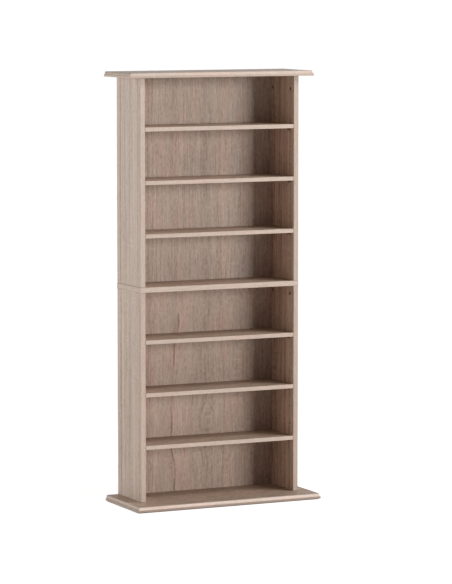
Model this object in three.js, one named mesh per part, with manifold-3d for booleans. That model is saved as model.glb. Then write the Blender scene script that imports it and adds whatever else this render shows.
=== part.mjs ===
// A tall open storage tower for discs, in light oak foil on chipboard.
// Two carcass halves stand one on the other with a middle board between them, under a moulded top
// board and on a moulded base board. Six loose shelves lie on pegs, and thin back panels sit in grooves.
// Millimetres, +Z up, open front towards -Y. The origin is on the floor, under the middle of the
// base board's outline.

import * as THREE from 'three';
import { mergeVertices } from 'three/addons/utils/BufferGeometryUtils.js';
import Module from 'manifold-3d';

const wasm = await Module();
wasm.setup();

// The carcass
const carcassWidth = 505;
const carcassDepth = 168;
const boardThickness = 15;
const baseThickness = 16;
const shelfThickness = 12;
const bays = 4;
const shelfPitch = 153;
const bottomBayHeight = 152;
const middleBoardProud = 1;

// The overhangs of the top and base boards, which are flush at the back
const endOverhang = 40;
const topFrontOverhang = 20;
const baseFrontOverhang = 72;

// The moulded edge, from the bottom up: a rounded foot, a square band, a step back and an ovolo
const footRadius = 1.2;
const bandHeight = 6;
const bandEdgeRadius = 0.8;
const mouldingStep = 2.5;
const mouldingInset = 6.5;
const roundSteps = 3;
const ovoloSteps = 6;

// The back panels and their grooves
const backPanelThickness = 3;
const rearRecess = 17.5;
const grooveDepth = 5;
const grooveEndGap = 0.5;

// The shelf pegs and the rows of holes that take them
const holesPerPitch = 3;
const pegShankRadius = 2.25;
const pegShankLength = 9;
const pegHeadRadius = 3.5;
const pegHeadLength = 8;
const pegChamfer = 0.6;
const frontPegSetback = 24;
const rearPegMargin = 9.5;

// The cam connectors in the upper end of each side panel
const camRadius = 5;
const camDepth = 10.5;
const camSlotLength = 6.5;
const camSlotWidth = 1.2;
const camSlotDepth = 1.5;
const topCamSetback = 38;
const middleCamSetback = 24;
const boltRadius = 2.5;
const boltThreadRadius = 3;
const boltThreadLength = 9.5;

// The screws that come up through the base and middle boards into the side panels
const screwHeadRadius = 5;
const screwHeadHeight = 2.5;
const screwNeckRadius = 3.4;
const screwThreadRadius = 3;
const screwThreadLength = 34;
const screwPointLength = 3;
const screwPointRadius = 1.2;
const screwSocketRadius = 2.3;
const screwSocketDepth = 1.8;
const screwOffset = 26;

// The nail-on glides under the base board
const glideHeight = 2;
const glideRadius = 9;
const glideEdge = 0.5;
const glideNailRadius = 1;
const glideNailLength = 10;
const glideSetback = 35;

// Clearances
const seam = 0.2;
const fitGap = 0.25;
const shelfEndGap = 0.5;
const shelfRestGap = 0.3;
const shelfBackGap = 1;
const overrun = 2;

const turnedSides = 12;
const camSides = 16;
const hexSides = 6;

// Heights above the floor
const baseTop = glideHeight + baseThickness;
const middleTop = baseTop + bottomBayHeight + shelfThickness + (bays - 1) * shelfPitch;
const middleBottom = middleTop - boardThickness;
const topBottom = middleTop + bays * shelfPitch - shelfThickness;

// Places across and through the carcass, whose own frame starts at its front face
const innerHalfWidth = carcassWidth / 2 - boardThickness;
const panelMiddle = innerHalfWidth + boardThickness / 2;
const backPanelFront = carcassDepth - rearRecess - backPanelThickness;
const shelfDepth = backPanelFront - shelfBackGap;
const pegSetbacks = { front: frontPegSetback, rear: backPanelFront - rearPegMargin };
const screwSetbacks = { front: pegSetbacks.front + screwOffset, rear: pegSetbacks.rear - screwOffset };
const frontFace = (baseFrontOverhang - carcassDepth) / 2;

// Peg rows: from the first shelf's to the last one's, each row the same drop below a shelf's top
const holeStep = shelfPitch / holesPerPitch;
const pegDrop = shelfThickness + shelfRestGap + pegHeadRadius;
const pegRowCount = (bays - 2) * holesPerPitch + 1;

const handOf = { left: -1, right: 1 };
const oak = { color: 0xb8a698, roughness: 0.55, metalness: 0 };
const backing = { color: 0xab9887, roughness: 0.6, metalness: 0 };
const brownPlastic = { color: 0x4a372c, roughness: 0.45, metalness: 0 };
const zinc = { color: 0x6e6a66, roughness: 0.4, metalness: 0.9 };
const steel = { color: 0xb4b2ae, roughness: 0.35, metalness: 0.95 };
const clearPlastic = { color: 0x8c7a6b, roughness: 0.4, metalness: 0 };

const xAxis = new THREE.Vector3(1, 0, 0);
const yAxis = new THREE.Vector3(0, 1, 0);
const zAxis = new THREE.Vector3(0, 0, 1);

// A closed mesh as a solid: shared corners merged, and the triangles that a pole squeezes flat left out
function solidOf(geometry) {
  const plain = geometry.clone();
  plain.deleteAttribute('normal');
  plain.deleteAttribute('uv');
  const merged = mergeVertices(plain);
  const index = merged.index.array;
  const kept = [];
  for (let i = 0; i < index.length; i += 3) {
    const [a, b, c] = index.slice(i, i + 3);
    if (a !== b && b !== c && c !== a) kept.push(a, b, c);
  }
  return new wasm.Manifold(new wasm.Mesh({
    numProp: 3,
    vertProperties: Float32Array.from(merged.attributes.position.array),
    triVerts: Uint32Array.from(kept),
  }));
}

function geometryOf(solid) {
  const mesh = solid.getMesh();
  const geometry = new THREE.BufferGeometry();
  geometry.setAttribute('position', new THREE.BufferAttribute(mesh.vertProperties, 3));
  geometry.setIndex(new THREE.BufferAttribute(mesh.triVerts, 1));
  geometry.computeVertexNormals();
  return geometry;
}

function cutBy(geometry, cutters) {
  let solid = solidOf(geometry);
  for (const cutter of cutters) solid = solid.subtract(solidOf(cutter));
  return geometryOf(solid);
}

// A box between two corners
function block(low, high) {
  const size = high.map((value, i) => value - low[i]);
  const box = new THREE.BoxGeometry(...size);
  box.translate(...low.map((value, i) => value + size[i] / 2));
  return box;
}

// A drill's cut: in at the mouth, along the direction for the depth, and a little out of the mouth
function drill(radius, depth, mouth, direction, sides = turnedSides) {
  const bore = new THREE.CylinderGeometry(radius, radius, depth + overrun, sides);
  bore.translate(0, (depth - overrun) / 2, 0);
  bore.applyQuaternion(new THREE.Quaternion().setFromUnitVectors(yAxis, direction));
  bore.translate(...mouth);
  return bore;
}

// A turned piece along +Z, from its [radius, height] outline between two points on the axis
function turned(outline) {
  const lathe = new THREE.LatheGeometry(outline.map(([r, z]) => new THREE.Vector2(r, z)), turnedSides);
  lathe.rotateX(Math.PI / 2);
  return lathe;
}

// The moulded edge's outline from the bottom up, as [inset, height]: a quarter circle for the foot, the
// band, a quarter circle over its edge, the step, and a quarter ellipse up to the top face
function mouldingOutline(thickness) {
  const outline = [];
  const quarter = (steps, place) => {
    for (let i = 0; i <= steps; i += 1) {
      const angle = (Math.PI / 2) * (i / steps);
      outline.push(place(Math.sin(angle), Math.cos(angle)));
    }
  };
  quarter(roundSteps, (sin, cos) => [footRadius * (1 - sin), footRadius * (1 - cos)]);
  quarter(roundSteps, (sin, cos) => [bandEdgeRadius * (1 - cos), bandHeight - bandEdgeRadius * (1 - sin)]);
  const ovoloWidth = mouldingInset - mouldingStep;
  const ovoloHeight = thickness - bandHeight;
  quarter(ovoloSteps, (sin, cos) => [mouldingInset - ovoloWidth * cos, bandHeight + ovoloHeight * sin]);
  return outline;
}

// A board moulded along its front and both ends, with mitred corners: one level rectangle for each
// point of the outline, drawn in by its inset on those three sides and flush at the back
function mouldedBoard(frontOverhang, thickness) {
  const rings = mouldingOutline(thickness).map(([inset, height]) => {
    const side = carcassWidth / 2 + endOverhang - inset;
    const front = inset - frontOverhang;
    return [[-side, front], [side, front], [side, carcassDepth], [-side, carcassDepth]]
      .map(([x, y]) => [x, y, height]);
  });
  const cornerCount = 4;
  const index = [0, 2, 1, 0, 3, 2];
  for (let ring = 0; ring + 1 < rings.length; ring += 1) {
    for (let i = 0; i < cornerCount; i += 1) {
      const a = ring * cornerCount + i;
      const b = ring * cornerCount + (i + 1) % cornerCount;
      index.push(a, b, b + cornerCount, a, b + cornerCount, a + cornerCount);
    }
  }
  const last = (rings.length - 1) * cornerCount;
  index.push(last, last + 1, last + 2, last, last + 2, last + 3);
  const geometry = new THREE.BufferGeometry();
  geometry.setAttribute('position', new THREE.Float32BufferAttribute(rings.flat(2), 3));
  geometry.setIndex(index);
  geometry.computeVertexNormals();
  return geometry;
}

// The groove for a back panel across a level board, from its face into its thickness
function boardGroove(face, intoBoard) {
  const halfLength = innerHalfWidth + grooveDepth;
  const mouth = face - intoBoard * overrun;
  const floor = face + intoBoard * grooveDepth;
  return block(
    [-halfLength, backPanelFront - fitGap, Math.min(mouth, floor)],
    [halfLength, backPanelFront + backPanelThickness + fitGap, Math.max(mouth, floor)],
  );
}

// One thing for each corner of the carcass: left and right, front and rear
function atCorners(setbacks, make) {
  return Object.entries(handOf).flatMap(([side, hand]) =>
    Object.entries(setbacks).map(([end, setback]) => make({ side, hand, end, setback })));
}

function boltHoles(face, intoBoard) {
  const direction = zAxis.clone().multiplyScalar(intoBoard);
  return atCorners(pegSetbacks, ({ hand, setback }) =>
    drill(boltThreadRadius + fitGap, boltThreadLength + fitGap, [hand * panelMiddle, setback, face], direction));
}

// Through holes for the screws, each with a counterbore for the head in the board's underside
function screwHoles(thickness) {
  return atCorners(screwSetbacks, ({ hand, setback }) => {
    const mouth = [hand * panelMiddle, setback, 0];
    const neck = drill(screwNeckRadius + fitGap, thickness + overrun, mouth, zAxis);
    const head = drill(screwHeadRadius + fitGap, screwHeadHeight + fitGap, mouth, zAxis);
    return [neck, head];
  }).flat();
}

function topBoard() {
  const board = mouldedBoard(topFrontOverhang, boardThickness);
  return cutBy(board, [boardGroove(0, 1), ...boltHoles(0, 1)]);
}

function middleBoard() {
  const halfLength = carcassWidth / 2 + middleBoardProud;
  const board = block([-halfLength, 0, 0], [halfLength, carcassDepth, boardThickness]);
  const grooves = [boardGroove(0, 1), boardGroove(boardThickness, -1)];
  return cutBy(board, [...grooves, ...boltHoles(0, 1), ...screwHoles(boardThickness)]);
}

const glidePlaces = {
  front: glideSetback - baseFrontOverhang,
  rear: carcassDepth - glideSetback,
};
const glideSide = carcassWidth / 2 + endOverhang - glideSetback;

function baseBoard() {
  const board = mouldedBoard(baseFrontOverhang, baseThickness);
  const nailHoles = atCorners(glidePlaces, ({ hand, setback }) =>
    drill(glideNailRadius + fitGap, glideNailLength + fitGap, [hand * glideSide, setback, 0], zAxis));
  return cutBy(board, [boardGroove(baseThickness, -1), ...screwHoles(baseThickness), ...nailHoles]);
}

// A side panel from its lower end up, its inner face at x = 0 and its thickness towards the hand
function sidePanel(length, lowestPegRow, camSetback, hand) {
  const inward = xAxis.clone().multiplyScalar(hand);
  const down = zAxis.clone().negate();
  const middle = hand * boardThickness / 2;
  const [innerX, outerX] = [0, hand * boardThickness];
  const panel = block(
    [Math.min(innerX, outerX), 0, 0],
    [Math.max(innerX, outerX), carcassDepth, length],
  );
  const cuts = [];
  for (const setback of Object.values(pegSetbacks)) {
    for (let row = 0; row < pegRowCount; row += 1) {
      const mouth = [0, setback, lowestPegRow + row * holeStep];
      cuts.push(drill(pegShankRadius + fitGap, pegShankLength + fitGap, mouth, inward));
    }
    cuts.push(drill(camRadius + fitGap, camDepth + fitGap, [0, setback, length - camSetback], inward, camSides));
    cuts.push(drill(boltRadius + fitGap, camSetback, [middle, setback, length], down));
  }
  const screwDepth = screwThreadLength + screwPointLength;
  for (const setback of Object.values(screwSetbacks)) {
    cuts.push(drill(screwThreadRadius + fitGap, screwDepth + fitGap, [middle, setback, 0], zAxis));
  }
  const grooveMouth = -hand * overrun;
  const grooveFloor = hand * grooveDepth;
  cuts.push(block(
    [Math.min(grooveMouth, grooveFloor), backPanelFront - fitGap, -overrun],
    [Math.max(grooveMouth, grooveFloor), backPanelFront + backPanelThickness + fitGap, length + overrun],
  ));
  return cutBy(panel, cuts);
}

function shelf() {
  const halfLength = innerHalfWidth - shelfEndGap;
  return block([-halfLength, 0, -shelfThickness], [halfLength, shelfDepth, 0]);
}

// A back panel from its lower edge up, let into the grooves all round
function backPanel(clearHeight) {
  const entry = grooveDepth - grooveEndGap;
  const halfWidth = innerHalfWidth + entry;
  return block(
    [-halfWidth, backPanelFront, -entry],
    [halfWidth, backPanelFront + backPanelThickness, clearHeight + entry],
  );
}

// A shelf peg along +Z: the shank in the panel below the origin, the head above it
function peg() {
  return turned([
    [0, -pegShankLength],
    [pegShankRadius, -pegShankLength],
    [pegShankRadius, seam],
    [pegHeadRadius, seam],
    [pegHeadRadius, pegHeadLength - pegChamfer],
    [pegHeadRadius - pegChamfer, pegHeadLength],
    [0, pegHeadLength],
  ]);
}

// A cam in the panel's inner face with its bolt up through the panel's end into the board above
function camConnector(setback, hand) {
  const cam = new THREE.CylinderGeometry(camRadius, camRadius, camDepth - seam, camSides);
  cam.rotateZ(Math.PI / 2);
  cam.translate(hand * (camDepth + seam) / 2, 0, 0);
  const panelEnd = setback + seam;
  const bolt = turned([
    [0, 0],
    [boltRadius, 0],
    [boltRadius, panelEnd],
    [boltThreadRadius, panelEnd],
    [boltThreadRadius, panelEnd + boltThreadLength],
    [0, panelEnd + boltThreadLength],
  ]);
  bolt.translate(hand * boardThickness / 2, 0, 0);
  const slotFloor = hand * (seam + camSlotDepth);
  const slotMouth = -hand * overrun;
  const [low, high] = [Math.min(slotFloor, slotMouth), Math.max(slotFloor, slotMouth)];
  const [longHalf, shortHalf] = [camSlotLength / 2, camSlotWidth / 2];
  const slots = [
    block([low, -longHalf, -shortHalf], [high, longHalf, shortHalf]),
    block([low, -shortHalf, -longHalf], [high, shortHalf, longHalf]),
  ];
  return cutBy(geometryOf(solidOf(cam).add(solidOf(bolt))), slots);
}

// A panel screw along +Z, its head's face at the origin with a hexagon socket in it
function panelScrew(boardDepth) {
  const threadStart = boardDepth - seam;
  const threadEnd = threadStart + screwThreadLength;
  const screw = turned([
    [0, 0],
    [screwHeadRadius, 0],
    [screwHeadRadius, screwHeadHeight - (screwHeadRadius - screwNeckRadius)],
    [screwNeckRadius, screwHeadHeight],
    [screwNeckRadius, threadStart],
    [screwThreadRadius, threadStart],
    [screwThreadRadius, threadEnd],
    [screwPointRadius, threadEnd + screwPointLength],
    [0, threadEnd + screwPointLength],
  ]);
  return cutBy(screw, [drill(screwSocketRadius, screwSocketDepth, [0, 0, 0], zAxis, hexSides)]);
}

// A glide on the floor: a low rounded disc, with the nail that holds it up in the base board
function glide() {
  const discTop = glideHeight - seam;
  return turned([
    [0, 0],
    [glideRadius - glideEdge, 0],
    [glideRadius, glideEdge],
    [glideRadius, discTop - glideEdge],
    [glideRadius - glideEdge, discTop],
    [glideNailRadius, discTop],
    [glideNailRadius, glideHeight + glideNailLength],
    [0, glideHeight + glideNailLength],
  ]);
}

function place(group, name, finish, geometry, position) {
  const mesh = new THREE.Mesh(geometry, new THREE.MeshStandardMaterial(finish));
  mesh.name = name;
  mesh.position.set(...position);
  group.add(mesh);
  return mesh;
}

// The pegs of one shelf, their heads pointing into the bay
function placePegs(group, shelfName, shelfTop) {
  atCorners(pegSetbacks, ({ side, hand, end, setback }) => {
    const position = [hand * innerHalfWidth, setback, shelfTop - pegDrop];
    const mesh = place(group, `${shelfName}_peg_${end}_${side}`, brownPlastic, peg(), position);
    mesh.quaternion.setFromUnitVectors(zAxis, xAxis.clone().multiplyScalar(-hand));
  });
}

function placeScrews(group, board, boardBottom, thickness) {
  atCorners(screwSetbacks, ({ side, hand, end, setback }) => {
    const position = [hand * panelMiddle, setback, boardBottom + seam];
    place(group, `${board}_screw_${end}_${side}`, steel, panelScrew(thickness), position);
  });
}

// One half of the carcass between two boards: sides, cams, back panel, shelves and their pegs
function placeHalf(group, half, bottom, top, camSetback, lowestShelfTop) {
  const length = top - bottom - 2 * seam;
  const foot = bottom + seam;
  const lowestPegRow = lowestShelfTop - pegDrop - foot;
  for (const [side, hand] of Object.entries(handOf)) {
    const panel = sidePanel(length, lowestPegRow, camSetback, hand);
    place(group, `${half}_${side}_side`, oak, panel, [hand * innerHalfWidth, 0, foot]);
  }
  atCorners(pegSetbacks, ({ side, hand, end, setback }) => {
    const position = [hand * innerHalfWidth, setback, foot + length - camSetback];
    place(group, `${half}_${side}_cam_${end}`, zinc, camConnector(camSetback, hand), position);
  });
  place(group, `${half}_back_panel`, backing, backPanel(top - bottom), [0, 0, bottom]);
  for (let i = 0; i < bays - 1; i += 1) {
    const name = `${half}_shelf_${i + 1}`;
    const shelfTop = lowestShelfTop + i * shelfPitch;
    place(group, name, oak, shelf(), [0, 0, shelfTop]);
    placePegs(group, name, shelfTop);
  }
}

const tower = new THREE.Group();
const carcass = new THREE.Group();
carcass.position.y = frontFace;
tower.add(carcass);

place(carcass, 'base_board', oak, baseBoard(), [0, 0, glideHeight]);
place(carcass, 'middle_board', oak, middleBoard(), [0, 0, middleBottom]);
place(carcass, 'top_board', oak, topBoard(), [0, 0, topBottom]);
placeHalf(carcass, 'lower', baseTop, middleBottom, middleCamSetback, middleTop - (bays - 1) * shelfPitch);
placeHalf(carcass, 'upper', middleTop, topBottom, topCamSetback, middleTop + shelfPitch);
placeScrews(carcass, 'base', glideHeight, baseThickness);
placeScrews(carcass, 'middle', middleBottom, boardThickness);
atCorners(glidePlaces, ({ side, hand, end, setback }) =>
  place(carcass, `glide_${end}_${side}`, clearPlastic, glide(), [hand * glideSide, setback, 0]));

export default tower;
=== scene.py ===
import math

import bpy
import numpy as np
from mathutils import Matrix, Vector


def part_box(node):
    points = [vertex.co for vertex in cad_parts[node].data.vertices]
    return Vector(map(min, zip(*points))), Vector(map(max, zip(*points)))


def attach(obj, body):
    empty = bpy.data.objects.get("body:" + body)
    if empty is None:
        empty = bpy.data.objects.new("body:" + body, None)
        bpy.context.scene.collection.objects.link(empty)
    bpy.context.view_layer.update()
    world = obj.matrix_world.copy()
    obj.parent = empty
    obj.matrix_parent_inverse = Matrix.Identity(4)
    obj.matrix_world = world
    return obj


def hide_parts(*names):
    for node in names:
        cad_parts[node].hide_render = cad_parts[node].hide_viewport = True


# A tall open tower of shelves for discs, in oak-look foil on chipboard: two carcass halves one on the
# other, on a moulded base board and under a moulded top board, with six loose shelves on pegs.
# Metres, +Z up, open front towards -Y, standing on the floor at zero.
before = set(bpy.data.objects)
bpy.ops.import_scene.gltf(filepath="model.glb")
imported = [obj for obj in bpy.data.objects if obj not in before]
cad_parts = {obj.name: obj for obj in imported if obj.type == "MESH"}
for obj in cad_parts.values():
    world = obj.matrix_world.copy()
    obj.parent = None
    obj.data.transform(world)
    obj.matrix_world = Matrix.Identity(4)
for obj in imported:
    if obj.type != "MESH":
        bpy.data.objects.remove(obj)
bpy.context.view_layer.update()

# The room: a pale floor that fades into white all round, a wide soft lamp far off at the front right with
# a smaller one above it, two narrow ones from the left, and an even light, most of it back up from the
# floor. Only the camera and mirrors see the floor and the room as white.
mm = 0.001
FLOOR_RADIUS = 2.4
FLOOR_RIM_POINTS = 96
FLOOR_FADE_FROM = 1.1
FLOOR_GREY = (0.30, 0.30, 0.30, 1)
FLOOR_SHADOW_WHITE = (0.55, 0.55, 0.55, 1)
FLOOR_GLOW = 0.84
FLOOR_GAP_EDGE = 4 * mm
LIGHT_FROM_BELOW = 0.40
LIGHT_FROM_ABOVE = 0.07
HORIZON_BLUR = 0.05
BOUNCE_COLOUR = (1.0, 0.92, 0.85, 1)
WHITE = (1, 1, 1, 1)
BACKDROP_GLOW = 1.03
LAMP_AIM_HEIGHT = 0.62


def node(tree, kind, inputs=None, **settings):
    """A new node of the kind in the tree. Each named or numbered input is linked if it is given a
    socket, or a node for its first output, and otherwise holds the value."""
    made = tree.nodes.new("ShaderNode" + kind)
    for key, value in settings.items():
        setattr(made, key, value)
    for key, value in (inputs or {}).items():
        if isinstance(value, bpy.types.Node):
            value = value.outputs[0]
        if isinstance(value, bpy.types.NodeSocket):
            tree.links.new(value, made.inputs[key])
        else:
            made.inputs[key].default_value = value
    return made


def calc(tree, operation, *values):
    """The result of one sum on numbers or sockets."""
    return node(tree, "Math", dict(enumerate(values)), operation=operation).outputs[0]


def share_between(tree, value, start, end):
    """0 up to start and 1 from end on, with a smooth turn between."""
    inputs = {"Value": value, "From Min": start, "From Max": end}
    return node(tree, "MapRange", inputs, interpolation_type="SMOOTHSTEP").outputs[0]


def blended(tree, share, first, second, blend_type="MIX"):
    """Two colours mixed by a share, or worked on each other in another way."""
    inputs = {0: share, 6: first, 7: second}
    return node(tree, "Mix", inputs, data_type="RGBA", blend_type=blend_type).outputs[2]


def seen_directly(tree):
    """1 for rays of the camera, of mirrors and of glass, and 0 for the light that surfaces gather."""
    path = node(tree, "LightPath").outputs
    mirrored = calc(tree, "MAXIMUM", path["Is Glossy Ray"], path["Is Transmission Ray"])
    return calc(tree, "MAXIMUM", path["Is Camera Ray"], mirrored)


def empty_material(name):
    """A material with nothing in its tree, and that tree."""
    made = bpy.data.materials.new(name)
    made.use_nodes = True
    made.node_tree.nodes.clear()
    return made, made.node_tree


def place_in(tree):
    """Where a point of the surface lies in the tower's frame, in metres."""
    return node(tree, "TexCoord").outputs["Object"]


def put_in_scene(name, data):
    """A new object in the scene, with its mesh, its lamp or its camera."""
    made = bpy.data.objects.new(name, data)
    bpy.context.scene.collection.objects.link(made)
    return made


def floor_finish():
    """White paint that shows as a steady glow plus a share of the light that falls on it, so that the
    tower's shadow stays. The glow stops under the base board, whose outline is a rectangle, and all of
    the floor thins out with the distance from the middle. The light that surfaces gather finds it grey,
    with the even light from below."""
    made, tree = empty_material("floor_white")
    place = place_in(tree)
    distance = node(tree, "VectorMath", {0: place}, operation="LENGTH").outputs["Value"]
    part = node(tree, "SeparateXYZ", {0: place}).outputs
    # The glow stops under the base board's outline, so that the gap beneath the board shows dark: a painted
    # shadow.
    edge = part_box("base_board")[1]
    beyond = [calc(tree, "SUBTRACT", calc(tree, "ABSOLUTE", part[axis]), edge[axis]) for axis in (0, 1)]
    open_floor = share_between(tree, calc(tree, "MAXIMUM", *beyond), -FLOOR_GAP_EDGE, 0.0)
    grey = node(tree, "BsdfDiffuse", {"Color": FLOOR_GREY})
    from_below = node(tree, "Emission", {"Color": BOUNCE_COLOUR, "Strength": LIGHT_FROM_BELOW})
    gathered = node(tree, "AddShader", {0: grey, 1: from_below})
    lit = node(tree, "BsdfDiffuse", {"Color": FLOOR_SHADOW_WHITE})
    glow = node(tree, "Emission", {"Strength": calc(tree, "MULTIPLY", open_floor, FLOOR_GLOW)})
    white = node(tree, "AddShader", {0: lit, 1: glow})
    clear = node(tree, "BsdfTransparent")
    fade = share_between(tree, distance, FLOOR_FADE_FROM, FLOOR_RADIUS)
    faded = node(tree, "MixShader", {0: fade, 1: white, 2: clear})
    both = node(tree, "MixShader", {0: seen_directly(tree), 1: gathered, 2: faded})
    node(tree, "OutputMaterial", {"Surface": both})
    return made


rim_turn = np.linspace(0, math.tau, FLOOR_RIM_POINTS, endpoint=False)
rim = FLOOR_RADIUS * np.stack([np.cos(rim_turn), np.sin(rim_turn), np.zeros_like(rim_turn)], 1)
floor_mesh = bpy.data.meshes.new("floor")
floor_mesh.from_pydata(rim.tolist(), [], [list(range(len(rim)))])
floor_mesh.materials.append(floor_finish())
put_in_scene("floor", floor_mesh)

world = bpy.data.worlds.new("white_room")
bpy.context.scene.world = world
world.use_nodes = True
room = world.node_tree
room.nodes.clear()
way = node(room, "TexCoord").outputs["Generated"]
height_of_way = node(room, "SeparateXYZ", {0: way}).outputs[2]
upward = share_between(room, height_of_way, -HORIZON_BLUR, HORIZON_BLUR)
ambient = node(room, "MapRange", {
    "Value": upward, "To Min": LIGHT_FROM_BELOW, "To Max": LIGHT_FROM_ABOVE})
strength = node(room, "MapRange", {
    "Value": seen_directly(room), "To Min": ambient, "To Max": BACKDROP_GLOW})
sky_colour = blended(room, seen_directly(room), BOUNCE_COLOUR, WHITE)
sky = node(room, "Background", {"Color": sky_colour, "Strength": strength})
node(room, "OutputWorld", {"Surface": sky})


def direction(azimuth, elevation):
    """The unit vector to a place that many degrees round from the front to the right, and up."""
    a, e = math.radians(azimuth), math.radians(elevation)
    return Vector((math.sin(a) * math.cos(e), -math.cos(a) * math.cos(e), math.sin(e)))


def aim(thing, place, way):
    """Puts a lamp or a camera at a place, facing the way told, upright."""
    thing.location = place
    thing.rotation_mode = "QUATERNION"
    thing.rotation_quaternion = way.to_track_quat("-Z", "Y")


def soft_lamp(name, azimuth, distance, height, wide, tall, watts, colour=WHITE):
    """A flat lamp on a stand at a distance round the tower, its middle at a height, facing the tower."""
    data = bpy.data.lights.new(name, "AREA")
    data.shape = "RECTANGLE"
    data.size = wide
    data.size_y = tall
    data.energy = watts
    data.color = colour[:3]
    place = direction(azimuth, 0) * distance + Vector((0, 0, height))
    aim(put_in_scene(name, data), place, Vector((0, 0, LAMP_AIM_HEIGHT)) - place)


soft_lamp("key_lamp", azimuth=31, distance=16.0, height=2.4, wide=5.8, tall=4.4, watts=1510)
soft_lamp("high_lamp", azimuth=55, distance=2.6, height=2.9, wide=1.2, tall=1.2, watts=62)
soft_lamp("left_lamp", azimuth=-130, distance=3.5, height=1.0, wide=0.7, tall=1.9, watts=81)
soft_lamp("fill_lamp", azimuth=-70, distance=3.5, height=1.0, wide=0.7, tall=1.9, watts=10,
          colour=BOUNCE_COLOUR)

# The camera stands front left of the tower, a little above its top, and looks slightly down. The
# focal length belongs to a frame 452 by 584 pixels, whose long side is the sensor's width.
CAMERA_PLACE = (-3.8285, -8.1495, 1.5456)
CAMERA_YAW = 25.399
CAMERA_PITCH = 5.909
FOCAL_PIXELS = 3106.9
FRAME_LONG_SIDE = 584
SENSOR_WIDTH = 36.0
camera_data = bpy.data.cameras.new("camera")
camera_data.sensor_width = SENSOR_WIDTH
camera_data.lens = SENSOR_WIDTH * FOCAL_PIXELS / FRAME_LONG_SIDE
camera = put_in_scene("camera", camera_data)
aim(camera, CAMERA_PLACE, direction(180 - CAMERA_YAW, -CAMERA_PITCH))
bpy.context.scene.camera = camera
bpy.context.scene.view_settings.view_transform = "Standard"

# The base board: a chipboard slab wrapped in oak foil, with a moulding of a foot, a band, a step and an
# ovolo run along its front and both ends and mitred at the corners. Its rear edge is left raw. It is
# bored from below for the screws that hold the sides, and grooved above for the lower back panel.
GRAIN_X, GRAIN_Y, GRAIN_Z = 0, 1, 2
FAR_OFF = 9.0
# The print's noises: cycles a metre across and along the grain, the sheet's shift, octaves, roughness
GRAIN_NOISES = {
    "slow": (7, 2.2, 0, 2, 0.55),
    "quick": (75, 26, 0, 2, 0.55),
    "zone": (18, 0.7, 5.3, 1.5, 0.55),
    "hue": (26, 7, 9.7, 1, 0.55),
    "streak": (150, 1.6, 13.9, 4, 0.74),
    "broken": (270, 15, 41.3, 3, 0.65),
    "fleck": (230, 85, 43.1, 2, 0.6),
    "hair": (620, 45, 17.3, 2, 0.55),
    "pore": (1500, 95, 29.3, 2, 0.55),
    "saw_bar": (22, 150, 31.7, 1, 0.55),
    "saw_patch": (15, 9, 37.1, 2, 0.55),
    "split_wander": (0, 9, 47.9, 0, 0.55),
    "split_patch": (0, 13, 53.3, 1, 0.55),
}
# From which value to which of its noise a mark fades in
NOISE_EDGES = {"pore": (0.60, 0.74), "saw_bar": (0.52, 0.66), "saw_patch": (0.54, 0.70),
               "split_patch": (0.42, 0.60)}
SLOW_WANDER = 14 * mm
QUICK_WANDER = 2.4 * mm
EYE_WIDTH = 90 * mm
EYE_LENGTH = 220 * mm
EYE_PUSH = 42 * mm
KNOT_NARROWNESS = 16.0
KNOT_RISE = 14 * mm
STREAK_SWING = 0.82
TONE_SWINGS = {"zone": 0.14, "broken": 0.85, "fleck": 0.66, "hair": 0.58}
SAW_LIGHT = 0.15
PORE_DARK = 0.22
SPLIT_WANDER = 52 * mm
SPLIT_WIDTH = 3.2 * mm
SPLIT_FLANK = 5.5 * mm
SPLIT_LIGHT = 0.20
SPLIT_DARK = 0.47
MEAN_ROUGHNESS = 0.40
BROKEN_ROUGHNESS = 0.22
PORE_ROUGHNESS = 0.18
BROKEN_RELIEF = 0.6
SAW_RELIEF = 0.3
PINK_EDGES = (0.47, 0.66)
OLIVE_EDGES = (0.53, 0.34)
PINK_CAST = (1.08, 0.94, 0.90, 1)
OLIVE_CAST = (0.95, 1.0, 0.98, 1)
OAK_SHADES = [(0.05, (126, 106, 94)), (0.30, (157, 138, 126)), (0.50, (176, 158, 146)),
              (0.70, (189, 173, 161)), (0.95, (205, 190, 178))]
FACE_TINT = (0.94, 0.92, 0.88, 1)
SWELL_LENGTH = 306 * mm
STRIP_BLUR = 0.5 * mm
FOIL_RELIEF = (0.35, 0.1 * mm)


def linear(*colour):
    """A colour of 0 to 255 a channel, as screens show it, in the linear light that shaders take, by the
    sRGB curve: a straight foot, and above it a power of 2.4."""
    share = np.array(colour) / 255
    value = np.where(share <= 0.04045, share / 12.92, ((share + 0.055) / 1.055) ** 2.4)
    return (*value.tolist(), 1.0)


def cloud(tree, place, scale, octaves, roughness=0.5, distortion=0.0):
    """Cloudy noise from 0 to 1 at a place, with that many cycles a metre and finer octaves."""
    inputs = {"Vector": place, "Scale": scale, "Detail": octaves, "Roughness": roughness,
              "Distortion": distortion}
    return node(tree, "TexNoise", inputs).outputs["Fac"]


def grain_noise(tree, name, across, along, sheet):
    """The named noise of the print at a place across and along the grain, each times its own scale, on
    a sheet that is shifted for this noise."""
    across_scale, along_scale, shift, octaves, roughness = GRAIN_NOISES[name]
    place = node(tree, "CombineXYZ", {
        0: calc(tree, "MULTIPLY", across, across_scale),
        1: calc(tree, "MULTIPLY", along, along_scale),
        2: calc(tree, "ADD", sheet, shift),
    })
    return cloud(tree, place, 1.0, octaves, roughness)


def sums_in(tree):
    """Four functions that add, subtract, multiply and divide two numbers or sockets in a tree."""
    return [lambda first, second, name=name: calc(tree, name, first, second)
            for name in ("ADD", "SUBTRACT", "MULTIPLY", "DIVIDE")]


def swing(tree, value, width):
    """A value from 0 to 1 turned into a swing of that width about zero."""
    return calc(tree, "MULTIPLY_ADD", value, width, -0.5 * width)


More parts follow.
